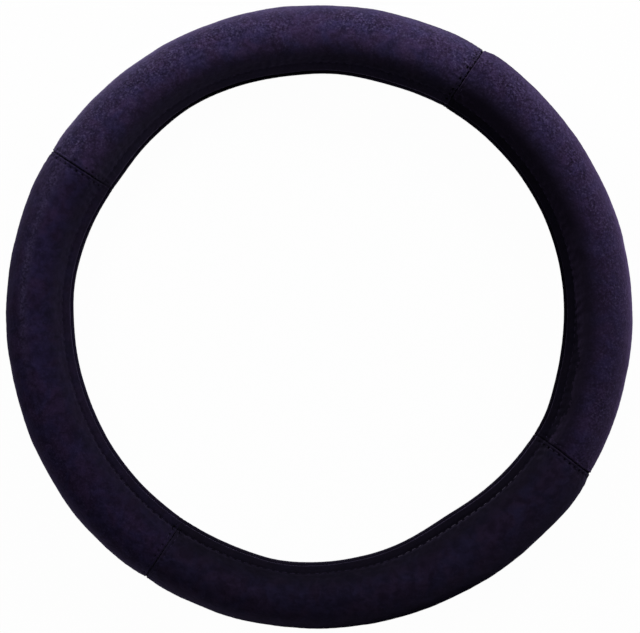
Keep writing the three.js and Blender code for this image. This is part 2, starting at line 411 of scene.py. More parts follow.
def panel_path():
    """Half of a panel's outline, from the tube's outer edge over the hem to the end of its return and
    back inside: path, depth, how much of the face's relief a point takes, and how many points come
    before the inside."""
    hem_from = ARC_LENGTH - HEM_STRETCH
    fold_from = ARC_LENGTH + FOLD_AT
    face = np.linspace(0, hem_from, FACE_STEPS, endpoint=False) + hem_from / FACE_STEPS / 2
    hem = np.linspace(hem_from, fold_from, HEM_STEPS)
    outside_path = np.concatenate([face, hem])
    outside = face_depth(outside_path - ARC_LENGTH)
    return_face = -CLEARANCE - CLOTH
    fold_middle = (outside[-1] + return_face) / 2
    fold_half = (outside[-1] - return_face) / 2
    turn = np.linspace(0, math.pi, FOLD_STEPS + 2)[1:-1]
    fold_path = fold_from + FOLD_REACH * np.sin(turn)
    fold = fold_middle + fold_half * np.cos(turn)
    fold_share = 0.5 + 0.5 * np.cos(turn)
    back_path = np.linspace(fold_from, ARC_LENGTH + RETURN_END, RETURN_STEPS)
    back = np.full(RETURN_STEPS, return_face)
    round_lip = fold_from - CLEARANCE / 2
    inside_path = np.concatenate(
        [
            [ARC_LENGTH + RETURN_END, round_lip, round_lip],
            [ARC_LENGTH + HEM_STITCH_AT, ARC_LENGTH + CLEARANCE],
            np.linspace(TUBE_HALF_WIDTH * FOAM_HALF_ANGLE, HALVES_MEET, HIDDEN_STEPS),
        ]
    )
    inside = np.concatenate(
        [[-CLEARANCE] * 2, [FOAM_INSIDE] * 3, np.full(HIDDEN_STEPS, CLOTH_INSIDE)]
    )
    path = np.concatenate([outside_path, fold_path, back_path, inside_path])
    depth = np.concatenate([outside, fold, back, inside])
    plain_count = RETURN_STEPS + len(inside_path)
    share = np.concatenate([np.ones(len(outside_path)), fold_share, np.zeros(plain_count)])
    return path, depth, share, len(path) - len(inside_path)


def panel_span(index):
    """First and last bearing of a panel."""
    start = SEAM_BEARINGS[index]
    return start, start + (SEAM_BEARINGS[(index + 1) % len(SEAM_BEARINGS)] - start) % FULL_TURN


def panel_stations(start, end):
    """Bearings of a panel's sections, close together near its two seams."""
    near = np.concatenate([[-SEAM_OVERLAP / MM], GROOVE_SECTIONS, DIP_SECTIONS])
    near *= math.degrees(MM / CENTRE_RADIUS)
    rest = np.linspace(start + near[-1], end - near[-1], REST_SECTIONS)[1:-1]
    return np.concatenate([start + near, rest, end - near[::-1]])


# A coarse net of cloth over the whole cover, sewn down at the seams and hems, is filled out by
# simulation. It is made larger for the solver, and its ripples are capped.
NET_STEP = 2.8 * MM
NET_SCALE = 10.0
NET_FRAMES = 20
SPARE_CLOTH = 0.012
PADDING_PRESSURE = 4.0
CLOTH_STIFFNESS = 15.0
BENDING_STIFFNESS = 20.0
RIPPLE_CAP = 0.4 * MM
RIPPLE_BLUR = 9


class Skin:
    """Height of the simulated ripples at any bearing and path across the cover."""

    def __init__(self, bearings, paths, heights):
        self.bearings = np.append(bearings, bearings[0] + FULL_TURN)
        self.paths = paths
        self.heights = heights

    def at(self, bearing, across):
        turned = (bearing - self.bearings[0]) % FULL_TURN + self.bearings[0]
        row = np.interp(turned, self.bearings, np.arange(len(self.bearings)))
        column = np.interp(across, self.paths, np.arange(len(self.paths)))
        row, column = np.broadcast_arrays(row, column)
        rows, row_weights = spline_weights(row)
        columns, column_weights = spline_weights(column)
        total = np.zeros(row.shape)
        for i, row_weight in zip(rows, row_weights):
            for k, column_weight in zip(columns, column_weights):
                k = np.clip(k, 0, len(self.paths) - 1)
                total += row_weight * column_weight * self.heights[i % len(self.heights), k]
        return total


def spline_weights(place):
    """The four neighbours of a place on a line of knots, with their weights in a cubic spline."""
    first = np.floor(place).astype(int)
    t = place - first
    weights = (
        (1 - t) ** 3 / 6,
        (3 * t**3 - 6 * t**2 + 4) / 6,
        (-3 * t**3 + 3 * t**2 + 3 * t + 1) / 6,
        t**3 / 6,
    )
    return (first - 1, first, first + 1, first + 2), weights


def skin_net():
    """Bearings and signed paths of the net's knots, and the rows that lie on seams."""
    rows = []
    for index in range(len(PANELS)):
        start, end = panel_span(index)
        count = round(math.radians(end - start) * CENTRE_RADIUS / NET_STEP)
        rows.append(np.linspace(start, end, count, endpoint=False))
    seams = np.cumsum([0] + [len(row) for row in rows[:-1]])
    reach = ARC_LENGTH + HEM_STITCH_AT
    paths = np.linspace(-reach, reach, round(2 * reach / NET_STEP) + 1)
    return np.concatenate(rows), paths, seams


def blurred(heights, span):
    """Running mean along the cover."""
    padded = np.concatenate([heights[-span:], heights, heights[:span]])
    sums = np.cumsum(padded, axis=0)
    return (sums[2 * span :] - sums[: -2 * span])[: len(heights)] / (2 * span)


def sewn_net(flat, seams):
    """The net as an enlarged object, with the knots in a group that are sewn down at seams and hems."""
    stations, count, _ = flat.shape
    row, column = np.meshgrid(np.arange(stations), np.arange(count - 1), indexing="ij")
    here = row * count + column
    there = (row + 1) % stations * count + column
    faces = np.stack([here, there, there + 1, here + 1], axis=-1).reshape(-1, 4)
    mesh = bpy.data.meshes.new("skin_net")
    mesh.from_pydata((flat.reshape(-1, 3) * NET_SCALE).tolist(), [], faces.tolist())
    net = bpy.data.objects.new("skin_net", mesh)
    bpy.context.scene.collection.objects.link(net)
    sewn = np.zeros((stations, count), bool)
    sewn[seams] = True
    sewn[:, [0, -1]] = True
    net.vertex_groups.new(name="sewn").add(np.flatnonzero(sewn).tolist(), 1.0, "REPLACE")
    return net


def fill_out(net):
    """Runs the cloth simulation on the net, takes it away and gives where its knots came to lie."""
    cloth = net.modifiers.new("cloth", "CLOTH")
    cloth.collision_settings.use_collision = False
    cloth.point_cache.frame_start = 1
    cloth.point_cache.frame_end = NET_FRAMES
    fabric = cloth.settings
    fabric.vertex_group_mass = "sewn"
    fabric.use_pressure = True
    fabric.uniform_pressure_force = PADDING_PRESSURE
    fabric.tension_stiffness = CLOTH_STIFFNESS
    fabric.compression_stiffness = CLOTH_STIFFNESS
    fabric.bending_stiffness = BENDING_STIFFNESS
    fabric.shrink_min = -SPARE_CLOTH
    fabric.shrink_max = -SPARE_CLOTH
    fabric.effector_weights.gravity = 0
    for moment in range(1, NET_FRAMES + 1):
        bpy.context.scene.frame_set(moment)
    evaluated = net.evaluated_get(bpy.context.evaluated_depsgraph_get())
    filled = bpy.data.meshes.new_from_object(evaluated)
    points = np.empty(len(filled.vertices) * 3)
    filled.vertices.foreach_get("co", points)
    mesh = net.data
    bpy.data.objects.remove(net)
    bpy.data.meshes.remove(mesh)
    bpy.data.meshes.remove(filled)
    bpy.context.scene.frame_set(1)
    return points / NET_SCALE


def simulate_skin():
    """Fills out the net with a little spare cloth and padding under it, and keeps only its ripples."""
    bearings, paths, seams = skin_net()

    bearing = bearings[:, None]
    path = np.abs(paths)[None]
    side = np.where(paths < 0, -1, 1)[None]
    depth = face_depth(path - ARC_LENGTH)
    flat = placed(*section(path, depth, side), bearing)
    normal = placed(*section(path, depth + MM, side), bearing) - flat
    normal /= np.linalg.norm(normal, axis=-1, keepdims=True)
    points = fill_out(sewn_net(flat, seams)).reshape(flat.shape)
    rise = ((points - flat) * normal).sum(axis=-1)
    ripples = rise - blurred(rise, RIPPLE_BLUR)
    return Skin(bearings, paths, RIPPLE_CAP * np.tanh(ripples / RIPPLE_CAP))


SKIN = simulate_skin()

# Waves of the padded face, by their length.
PUCKERS = Ripples(seed=11, length=7.0 * MM)
CREASES = Ripples(seed=12, length=16.0 * MM)
SWELLS = Ripples(seed=13, length=45.0 * MM)
TUFTS = Ripples(seed=14, length=3.2 * MM, count=22)


def seam_distances(index, bearing, path, side):
    """Distances from the panel's first and last seam, measured along the tube's surface."""
    start, end = panel_span(index)
    outwards, _ = section(path, FACE, side)
    local_radius = CENTRE_RADIUS + outwards
    return np.radians(bearing - start) * local_radius, np.radians(end - bearing) * local_radius


def needle_holes(way, pitch):
    """1 at each needle hole of a row of stitches and 0 halfway between two."""
    return 0.5 + 0.5 * np.cos(math.tau * way / pitch)


def topstitch_row(distance, along, across):
    """How far the needle pulls the face in beside a seam, unevenly and mostly at its holes."""
    needle = needle_holes(across, TOPSTITCH_PITCH) ** 3
    pull = PULL + PULL_UNEVENNESS * PUCKERS.at(across, along)
    pull = pull * (PULL_BETWEEN_HOLES + PULL_AT_HOLES * needle)
    return pull * bell(distance - TOPSTITCH_AT, TOPSTITCH_WIDTH)


def hem_row(bearing, lip, along, across):
    """What the hem stitching does to a panel's edge: how deep it is drawn in, and how much shade is
    painted on its line and in its open needle holes."""
    from_row = lip - HEM_STITCH_AT
    needle = needle_holes(along, HEM_PITCH) ** 2
    tight = stand_out(TIGHT_HEMS, bearing)
    hole = tight / MM * bell(from_row + OPEN_HOLE_BEFORE, OPEN_HOLE_WIDTH) * needle
    drop = (
        tight * bell(from_row, HEM_GROOVE_WIDTH)
        + HEM_HOLE * bell(from_row, HEM_HOLE_WIDTH) * needle
        + OPEN_HOLE * hole * np.clip(1 + PUCKERS.at(along, across), 0, 2)
    )
    line = (HEM_SHADE + TIGHT_HEM_SHADE * tight / MM) * bell(from_row, HEM_SHADE_WIDTH)
    return drop, line + OPEN_HOLE_SHADE * hole


def face_relief(index, bearing, path, side):
    """What the sewing and the padding do to a panel's face: its height, how much shade is painted on it
    in the seam's groove, beside the seam, along the stitching and at the hem, and how ruffled its pile
    is."""
    from_start, from_end = seam_distances(index, bearing, path, side)
    distance = np.minimum(from_start, from_end)

    def at_seam(values):
        return np.where(from_start < from_end, *values[PANELS[index]])

    across = path * side
    along = np.radians(bearing) * CENTRE_RADIUS
    lip = path - ARC_LENGTH
    hem = smooth(lip, TIGHT_FROM, TIGHT_TO)
    ruffle = at_seam(SEAM_RUFFLES) * bell(distance, SEAM_RUFFLE_WIDTH) * (1 - hem)
    puckers = SEAM_PUCKERS * bell(distance - SEAM_PUCKERS_AT, SEAM_PUCKERS_WIDTH)
    puckers = puckers + HEM_PUCKERS * bell(lip - HEM_PUCKERS_AT, HEM_PUCKERS_WIDTH)
    soft = (
        SWELL_HEIGHT * SWELLS.at(along, across)
        + CREASE_HEIGHT * CREASES.at(along, across) * (1 - CREASES_LOST * hem)
        + (TUFT_HEIGHT + RUFFLED_TUFT_HEIGHT * ruffle) * TUFTS.at(along, across)
        + puckers * PUCKERS.at(along * PUCKER_CROWDING, across)
        + SKIN.at(bearing, across) * (1 - hem)
    )
    row = at_seam(STITCH_ROWS) * topstitch_row(distance, along, across)
    groove = bell(distance, SEAM_GROOVE_WIDTH)
    seam = (
        SEAM_RIDGE * bell(distance - SEAM_RIDGE_AT, SEAM_RIDGE_WIDTH)
        - at_seam(SEAM_DIPS) * bell(distance, at_seam(SEAM_DIP_WIDTHS))
        - SEAM_GROOVE * groove
        - TOPSTITCH_VALLEY * row
    )
    hem_drop, hem_line_shade = hem_row(bearing, lip, along, across)
    relief = soft + seam * (1 - SEAMS_LOST * hem) - hem_drop
    # Painted shade: the seam's groove, the topstitch valleys, the pile beside the seam, the hem line
    # and each open needle hole are darkened in colour.
    shade = at_seam(SEAM_SHADES) * bell(distance, SEAM_SHADE_WIDTH)
    painted_shade = np.clip(groove + row + shade + hem_line_shade, 0, 1)
    return relief, painted_shade, ruffle


def shade_parted_pile(index, bearing, path, side, painted_shade):
    """Where the pile lies open along the seams and at needle holes, painted in shade with a darker copy
    of the velour that does not shine.
    """
    from_start, from_end = seam_distances(index, bearing, path, side)
    at_hem = np.clip(path / ARC_LENGTH, 0, 1)
    along = np.radians(bearing) * CENTRE_RADIUS
    wobble = PARTING + PARTING_UNEVENNESS * TUFTS.at(path * side * PARTING_CROWDING, along)
    along_seam = np.zeros(from_start.shape, bool)
    for distance, (outer, inner) in zip((from_start, from_end), SEAM_LINES[PANELS[index]]):
        along_seam |= distance < (outer + (inner - outer) * at_hem) * wobble
    distance = np.minimum(from_start, from_end)
    in_row = np.abs(distance - TOPSTITCH_AT) < TOPSTITCH_WIDTH
    at_hole = in_row & (painted_shade > OPEN_HOLE_SHADE_LIMIT)
    return (along_seam & (path < ARC_LENGTH + HEM_STITCH_AT)) | at_hole


def panel_surface(index):
    """One velour panel: its points, stations by section points by 3, what its pile is like there, with
    its painted light and shade, and the two places where a darker, less shiny copy of the velour is
    painted as shade: where the pile lies open, and where it hardly shines."""
    bearings = panel_stations(*panel_span(index))
    path, depth, share, outside_count = panel_path()
    order, side = whole_outline(outside_count, len(path))
    path = path[order][None]
    depth = depth[order][None]
    share = share[order][None]
    side = side[None]
    bearing = bearings[:, None]
    relief, painted_shade, ruffle = face_relief(index, bearing, path, side)

    height = depth + share * relief
    height = np.where(share == 1, np.maximum(height, FOAM_INSIDE + LEAST_CLOTH), height)
    under_face = face_depth(path - ARC_LENGTH) + relief - INSIDE_UNDER_FACE
    inside = np.maximum(np.minimum(height, under_face), GRIP_WALL + LEAST_CLEARANCE)
    height = np.where((share == 0) & (depth >= FOAM_INSIDE), inside, height)
    points = placed(*section(path, height, side), bearing)
    points[..., 2] = np.maximum(points[..., 2], 0.0)

    beyond_hem = smooth(path - ARC_LENGTH, HEM_STITCH_AT - MM, HEM_STITCH_AT + MM)
    shaded = stand_out(SHADED_LIPS, bearing) / MM * beyond_hem
    brushed_and_lit = sum(
        much * bell(turn_between(at, bearing), spread) * bell(path - from_edge * MM, width * MM)
        for at, much, spread, from_edge, width in BRUSHED_AND_LIT_PILE
    )
    brushed_and_lit = np.clip(brushed_and_lit, 0, 1)
    upright = 1 - FLATTER_BY * smooth(path, UPRIGHT_TO, FLATTER_FROM)
    # The pile's looks: painted shade in the grooves and on the lips, painted shade towards the hem, and
    # paler patches that are partly painted light.
    pile = {
        "painted_shade": np.maximum(painted_shade * share, shaded),
        "ruffle": np.maximum(ruffle, brushed_and_lit),
        "pressed_shade": smooth(path, *PRESSED_SHADE[PANELS[index]]),
        "brushed_and_lit": brushed_and_lit,
        "upright": np.maximum(upright, brushed_and_lit),
    }
    along = np.radians(bearing) * CENTRE_RADIUS
    across = path * side
    wobble = 1 + DULL_SHADED_PILE_WOBBLE * (CREASES.at(along, across) + TUFTS.at(along, across))
    dull_shaded_from = ARC_LENGTH + HEM_STITCH_AT - stand_out(DULL_SHADED_PILE, bearing) * wobble
    dull_shaded = (path > dull_shaded_from) & (share > 0)
    return points, pile, shade_parted_pile(index, bearing, path, side, painted_shade), dull_shaded


def link(tree, output, socket):
    tree.links.new(output, socket)


def new_material(name):
    material = bpy.data.materials.new(name)
    material.use_nodes = True
    tree = material.node_tree
    tree.nodes.clear()
    surface = tree.nodes.new("ShaderNodeBsdfPrincipled")
    output = tree.nodes.new("ShaderNodeOutputMaterial")
    link(tree, surface.outputs["BSDF"], output.inputs["Surface"])
    return material, tree, surface


def object_coordinates(tree):
    return tree.nodes.new("ShaderNodeTexCoord").outputs["Object"]


def noise(tree, where, scale, detail=2.0, roughness=0.5, distortion=0.0):
    node = tree.nodes.new("ShaderNodeTexNoise")
    link(tree, where, node.inputs["Vector"])
    node.inputs["Scale"].default_value = scale
    node.inputs["Detail"].default_value = detail
    node.inputs["Roughness"].default_value = roughness
    node.inputs["Distortion"].default_value = distortion
    return node.outputs["Fac"]


def remap(tree, value, low, high, to_low=0.0, to_high=1.0):
    node = tree.nodes.new("ShaderNodeMapRange")
    node.interpolation_type = "SMOOTHSTEP"
    link(tree, value, node.inputs["Value"])
    node.inputs["From Min"].default_value = low
    node.inputs["From Max"].default_value = high
    node.inputs["To Min"].default_value = to_low
    node.inputs["To Max"].default_value = to_high
    return node.outputs["Result"]


def calculate(tree, operation, first, second):
    node = tree.nodes.new("ShaderNodeMath")
    node.operation = operation
    for socket, value in zip(node.inputs, (first, second)):
        if isinstance(value, (int, float)):
            socket.default_value = value
        else:
            link(tree, value, socket)
    return node.outputs["Value"]


def blend_colours(tree, factor, first, second):
    node = tree.nodes.new("ShaderNodeMix")
    node.data_type = "RGBA"
    if isinstance(factor, (int, float)):
        node.inputs["Factor"].default_value = factor
    else:
        link(tree, factor, node.inputs["Factor"])
    for socket, value in ((node.inputs["A"], first), (node.inputs["B"], second)):
        if isinstance(value, tuple):
            socket.default_value = (*value, 1.0)
        else:
            link(tree, value, socket)
    return node.outputs["Result"]


def bump(tree, surface, height, strength, distance, after=None):
    node = tree.nodes.new("ShaderNodeBump")
    node.inputs["Strength"].default_value = strength
    node.inputs["Distance"].default_value = distance
    link(tree, height, node.inputs["Height"])
    if after is not None:
        link(tree, after, node.inputs["Normal"])
    link(tree, node.outputs["Normal"], surface.inputs["Normal"])
    return node.outputs["Normal"]


def srgb(red, green, blue, tone=(1.0, 1.0, 1.0)):
    """Linear colour of an 8-bit screen colour, made lighter, darker or warmer by a tone."""
    return tuple(
        share * (value / 255 / 12.92 if value <= 10 else ((value / 255 + 0.055) / 1.055) ** 2.4)
        for value, share in zip((red, green, blue), tone)
    )


def attribute(tree, name):
    node = tree.nodes.new("ShaderNodeAttribute")
    node.attribute_name = name
    return node.outputs["Fac"]


def velour_material(name, tone, sheen, grain, bloom=(182, 166, 222), pressed_shade_strength=0.85):
    """Short pile: dark plum navy with greyer fibre ends and darker hollows, partly painted highlight
    and shade, ruffled in patches and beside the seams, paler where it lies the other way and partly
    painted light there, with painted shade darkening it towards the hem where it lies flat, and
    nearly black with painted shade in its grooves, stitch valleys and open holes."""
    material, tree, surface = new_material(name)
    where = object_coordinates(tree)
    clumps = noise(tree, where, scale=170.0, detail=3.0, roughness=0.6, distortion=0.4)
    mottle = remap(tree, clumps, low=0.3, high=0.7)
    warmth = noise(tree, where, scale=80.0, distortion=0.5)
    warmth = remap(tree, warmth, low=0.35, high=0.65)
    patches = noise(tree, where, scale=30.0, distortion=0.8)
    patches = remap(tree, patches, low=0.36, high=0.66, to_low=0.55 * grain, to_high=grain)
    ruffle = calculate(tree, "MAXIMUM", patches, attribute(tree, "ruffle"))
    ruffle = calculate(tree, "MULTIPLY", ruffle, attribute(tree, "upright"))
    pile = noise(tree, where, scale=700.0, detail=3.0, roughness=0.6, distortion=0.4)
    # The grain: greyer fibre ends and darker hollows, partly painted highlight and shade, stronger on
    # the panels where more light falls.
    tip_highlights = calculate(tree, "MULTIPLY", remap(tree, pile, low=0.5, high=0.75), ruffle)
    pit_shade = calculate(tree, "MULTIPLY", remap(tree, pile, low=0.52, high=0.34), ruffle)

    cool = blend_colours(tree, mottle, srgb(25, 20, 41, tone), srgb(38, 32, 61, tone))
    warm = blend_colours(tree, mottle, srgb(29, 20, 39, tone), srgb(44, 32, 58, tone))
    nap = blend_colours(tree, warmth, cool, warm)
    # Paler patches: pile brushed the other way, partly painted light.
    brushed_and_lit = remap(tree, mottle, low=-0.6, high=1.0)
    brushed_and_lit = calculate(tree, "MULTIPLY", attribute(tree, "brushed_and_lit"), brushed_and_lit)
    cloth = blend_colours(tree, brushed_and_lit, nap, srgb(58, 51, 78, tone))
    lit = blend_colours(tree, tip_highlights, cloth, srgb(74, 67, 94, tone))
    shade_parted = blend_colours(tree, pit_shade, lit, srgb(8, 6, 13))
    # Painted shade towards the hem, at each panel's own strength.
    pressed_shade = calculate(tree, "MULTIPLY", attribute(tree, "pressed_shade"), pressed_shade_strength)
    dark = blend_colours(tree, pressed_shade, shade_parted, srgb(8, 8, 11))
    # Painted shade: the grooves, stitch valleys, hem line and shaded lips go nearly black.
    painted_shade = calculate(tree, "MULTIPLY", attribute(tree, "painted_shade"), 0.9)
    painted_shaded = blend_colours(tree, painted_shade, dark, srgb(4, 3, 6))
    link(tree, painted_shaded, surface.inputs["Base Color"])

    surface.inputs["Roughness"].default_value = 0.88
    surface.inputs["Specular IOR Level"].default_value = 0.0
    surface.inputs["Sheen Weight"].default_value = sheen
    surface.inputs["Sheen Roughness"].default_value = 0.5
    surface.inputs["Sheen Tint"].default_value = (*srgb(*bloom), 1.0)
    tufted = bump(tree, surface, mottle, strength=0.3, distance=0.3 * MM)
    ruffled = calculate(tree, "MULTIPLY", pile, ruffle)
    bump(tree, surface, ruffled, strength=0.6, distance=0.4 * MM, after=tufted)
    return material


def rubber_material():
    """Moulded black rubber, matt, with a slight grey bloom."""
    material, tree, surface = new_material("moulded_rubber")
    where = object_coordinates(tree)
    grain = noise(tree, where, scale=900.0, detail=3.0, roughness=0.6)
    bloom = noise(tree, where, scale=45.0, detail=3.0, roughness=0.55, distortion=0.4)
    bloom = remap(tree, bloom, low=0.4, high=0.7)
    colour = blend_colours(tree, bloom, srgb(26, 26, 28), srgb(38, 38, 40))
    link(tree, colour, surface.inputs["Base Color"])
    roughness = remap(tree, grain, low=0.3, high=0.7, to_low=0.55, to_high=0.78)
    link(tree, roughness, surface.inputs["Roughness"])
    bump(tree, surface, grain, strength=0.25, distance=0.1 * MM)
    return material


def foam_material():
    """Dark grey sheet foam with open cells."""
    material, tree, surface = new_material("open_cell_foam")
    where = object_coordinates(tree)
    cells = tree.nodes.new("ShaderNodeTexVoronoi")
    cells.inputs["Scale"].default_value = 900.0
    link(tree, where, cells.inputs["Vector"])
    pores = remap(tree, cells.outputs["Distance"], low=0.15, high=0.6)
    colour = blend_colours(tree, pores, srgb(52, 52, 56), srgb(96, 96, 100))
    link(tree, colour, surface.inputs["Base Color"])
    surface.inputs["Roughness"].default_value = 0.95
    bump(tree, surface, pores, strength=0.6, distance=0.4 * MM)
    return material


def thread_material(name, dark, light):
    """Matt sewing thread, its strands in two shades."""
    material, tree, surface = new_material(name)
    where = object_coordinates(tree)
    strands = noise(tree, where, scale=2600.0, roughness=0.6)
    strands = remap(tree, strands, low=0.35, high=0.65)
    link(tree, blend_colours(tree, strands, dark, light), surface.inputs["Base Color"])
    surface.inputs["Roughness"].default_value = 0.8
    surface.inputs["Specular IOR Level"].default_value = 0.05
    bump(tree, surface, strands, strength=0.5, distance=0.1 * MM)
    return material


# The panels are one velour: each has its own tone, partly from the way its pile lies and partly painted
# light and shade matched to how the light falls on it, and its own shine.
VELOURS = {
    "top": velour_material(
        "velour_top", tone=(1.65, 1.65, 1.7), sheen=0.6, grain=0.9, pressed_shade_strength=0.87
    ),
    "right": velour_material(
        "velour_right",
        tone=(1.05, 1.03, 1.12),
        sheen=0.66,
        grain=1.15,
        bloom=(190, 162, 232),
        pressed_shade_strength=0.98,
    ),
    "left": velour_material(
        "velour_left", tone=(1.18, 1.15, 1.23), sheen=0.41, grain=0.35, pressed_shade_strength=0.66
    ),
    "bottom": velour_material("velour_bottom", tone=(1.02, 1.08, 0.97), sheen=0.4, grain=0.15),
}
# A darker copy of the velour that hardly shines: painted shade on the right panel's inner side.
DULL_SHADED_VELOUR = velour_material("velour_right_lip_shade", tone=(0.8, 0.8, 0.8), sheen=0.22, grain=0.3)
# A darker copy of the velour that barely shines: painted shade along the seams and in the open needle
# holes.
SEAM_SHADE_VELOUR = velour_material("velour_seam_shade", tone=(0.5, 0.5, 0.5), sheen=0.05, grain=0.3)
RUBBER = rubber_material()
FOAM = foam_material()
TOPSTITCH = thread_material("topstitch_thread", srgb(34, 28, 50), srgb(62, 54, 82))
HEM_THREAD = thread_material("hem_thread", srgb(26, 21, 38), srgb(48, 41, 64))
# The hem thread painted paler: painted glints on the hem stitches.
GLINT_PAINTED_HEM_THREAD = thread_material("glint_painted_hem_thread", srgb(42, 38, 54), srgb(98, 92, 112))


# A panel's materials by their number in its mesh.
PILE = 0
SHADE_PARTED = 1
DULL_SHADED = 2


def make_panels():
    """The four velour panels: padded face, hem, roll round the lip and turned-in allowance."""
    for index, place in enumerate(PANELS):
        points, pile, shade_parted, dull_shaded = panel_surface(index)
        mesh = loft_mesh(f"velour_{place}", points, is_ring=False)
        for look, amount in pile.items():
            values = np.broadcast_to(amount, shade_parted.shape).ravel()
            mesh.attributes.new(look, "FLOAT", "POINT").data.foreach_set("value", values)
        panel = show(f"velour_{place}", mesh, VELOURS[place])
        mesh.materials.append(SEAM_SHADE_VELOUR)
        numbers = np.where(shade_parted[1:] & shade_parted[:-1], SHADE_PARTED, PILE)
        if place == "right":
            mesh.materials.append(DULL_SHADED_VELOUR)
            numbers = np.where(dull_shaded[1:] & (numbers == PILE), DULL_SHADED, numbers)
        two_ends = [SHADE_PARTED, SHADE_PARTED]
        numbers = np.append(numbers, two_ends).astype(np.int32)
        mesh.polygons.foreach_set("material_index", numbers)
        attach(panel, "root")
        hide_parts(f"velour_panel_{place}")


def stitch_tree():
    """Sews one stitch at each point of a guide line that carries the surface's normal there."""
    tree = bpy.data.node_groups.new("stitching", "GeometryNodeTree")
    sockets = tree.interface
    sockets.new_socket("Geometry", in_out="INPUT", socket_type="NodeSocketGeometry")
    for name in ("Stitch Length", "Thread Radius", "Crown", "Sink"):
        sockets.new_socket(name, in_out="INPUT", socket_type="NodeSocketFloat")
    sockets.new_socket("Thread", in_out="INPUT", socket_type="NodeSocketMaterial")
    sockets.new_socket("Geometry", in_out="OUTPUT", socket_type="NodeSocketGeometry")
    start = tree.nodes.new("NodeGroupInput")
    end = tree.nodes.new("NodeGroupOutput")

    def node(kind, **inputs):
        made = tree.nodes.new(kind)
        for name, value in inputs.items():
            socket = made.inputs[name.replace("_", " ")]
            if isinstance(value, bpy.types.NodeSocket):
                tree.links.new(value, socket)
            else:
                socket.default_value = value
        return made

    def scaled(value, factor):
        made = tree.nodes.new("ShaderNodeMath")
        made.operation = "MULTIPLY"
        tree.links.new(value, made.inputs[0])
        made.inputs[1].default_value = factor
        return made.outputs[0]

    def point(x, z):
        return node("ShaderNodeCombineXYZ", X=x, Z=z).outputs[0]

    half = scaled(start.outputs["Stitch Length"], 0.5)
    sink = scaled(start.outputs["Sink"], -1.0)
    crown = scaled(start.outputs["Crown"], 2.0)
    arch = node(
        "GeometryNodeCurveQuadraticBezier",
        Resolution=5,
        Start=point(scaled(half, -1.0), sink),
        Middle=point(0.0, crown),
        End=point(half, sink),
    )
    thread_section = node(
        "GeometryNodeCurvePrimitiveCircle", Resolution=5, Radius=start.outputs["Thread Radius"]
    )
    stitch = tree.nodes.new("GeometryNodeCurveToMesh")
    tree.links.new(arch.outputs[0], stitch.inputs["Curve"])
    tree.links.new(thread_section.outputs[0], stitch.inputs["Profile Curve"])
    stitch.inputs["Fill Caps"].default_value = True
    line = node("GeometryNodeMeshToCurve", Mesh=start.outputs["Geometry"])
    normal = tree.nodes.new("GeometryNodeInputNamedAttribute")
    normal.data_type = "FLOAT_VECTOR"
    normal.inputs["Name"].default_value = "surface_normal"
    tangent = tree.nodes.new("GeometryNodeInputTangent")
    turned = tree.nodes.new("FunctionNodeAxesToRotation")
    turned.primary_axis = "X"
    turned.secondary_axis = "Z"
    tree.links.new(tangent.outputs[0], turned.inputs[0])
    tree.links.new(normal.outputs[0], turned.inputs[1])
    sewn = tree.nodes.new("GeometryNodeInstanceOnPoints")
    tree.links.new(line.outputs[0], sewn.inputs["Points"])
    tree.links.new(stitch.outputs[0], sewn.inputs["Instance"])
    tree.links.new(turned.outputs[0], sewn.inputs["Rotation"])
    real = node("GeometryNodeRealizeInstances", Geometry=sewn.outputs[0])
    finish = node("GeometryNodeSetMaterial", Geometry=real.outputs[0])
    tree.links.new(start.outputs["Thread"], finish.inputs["Material"])
    tree.links.new(finish.outputs[0], end.inputs[0])
    return tree


def guide_line(index, bearing, path, side):
    """Points on a panel's sewn face and its outward normals there."""
    bearing, path, side = np.broadcast_arrays(bearing, path, side)
    relief, _, _ = face_relief(index, bearing, path, side)
    height = face_depth(path - ARC_LENGTH) + relief
    middle = placed(*section(path, height, side), bearing)
    outside = placed(*section(path, FACE + MM, side), bearing)
    normal = outside - placed(*section(path, FACE, side), bearing)
    return middle, normal / np.linalg.norm(normal, axis=-1, keepdims=True)


def sew(name, lines, tree, thread, **sizes):
    """Stitches along guide lines, as one plain mesh."""
    mesh = bpy.data.meshes.new(f"{name}_guide")
    points = np.concatenate([line for line, _ in lines])
    normals = np.concatenate([normal for _, normal in lines])
    edges = []
    first = 0
    for line, _ in lines:
        edges += [(first + i, first + i + 1) for i in range(len(line) - 1)]
        first += len(line)
    mesh.from_pydata(points.tolist(), edges, [])
    directions = mesh.attributes.new("surface_normal", "FLOAT_VECTOR", "POINT")
    directions.data.foreach_set("vector", normals.ravel())
    guide = bpy.data.objects.new(f"{name}_guide", mesh)
    bpy.context.scene.collection.objects.link(guide)
    modifier = guide.modifiers.new("stitching", "NODES")
    modifier.node_group = tree
    inputs = [item for item in tree.interface.items_tree if item.in_out == "INPUT"]
    identifiers = {item.name: item.identifier for item in inputs}
    for label, value in sizes.items():
        modifier[identifiers[label.replace("_", " ").title()]] = value
    modifier[identifiers["Thread"]] = thread
    evaluated = guide.evaluated_get(bpy.context.evaluated_depsgraph_get())
    sewn_mesh = bpy.data.meshes.new_from_object(evaluated)
    sewn_mesh.name = name
    bpy.data.objects.remove(guide)
    bpy.data.meshes.remove(mesh)
    stitches = show(name, sewn_mesh, thread)
    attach(stitches, "root")


def between_holes(low, high, pitch):
    """Middles of the stitches from low to high, halfway between needle holes."""
    return (np.arange(math.ceil(low / pitch), math.floor(high / pitch)) + 0.5) * pitch


# The thread, how high a stitch arches, how far the hem stitching stops from a seam, and how far from
# the outer edge the topstitching runs.
THREAD_RADIUS = 0.2 * MM
STITCH_CROWN = 0.1 * MM
HEM_STITCHES_FROM = 3.5 * MM
TOPSTITCH_REACH = ARC_LENGTH + 8.0 * MM


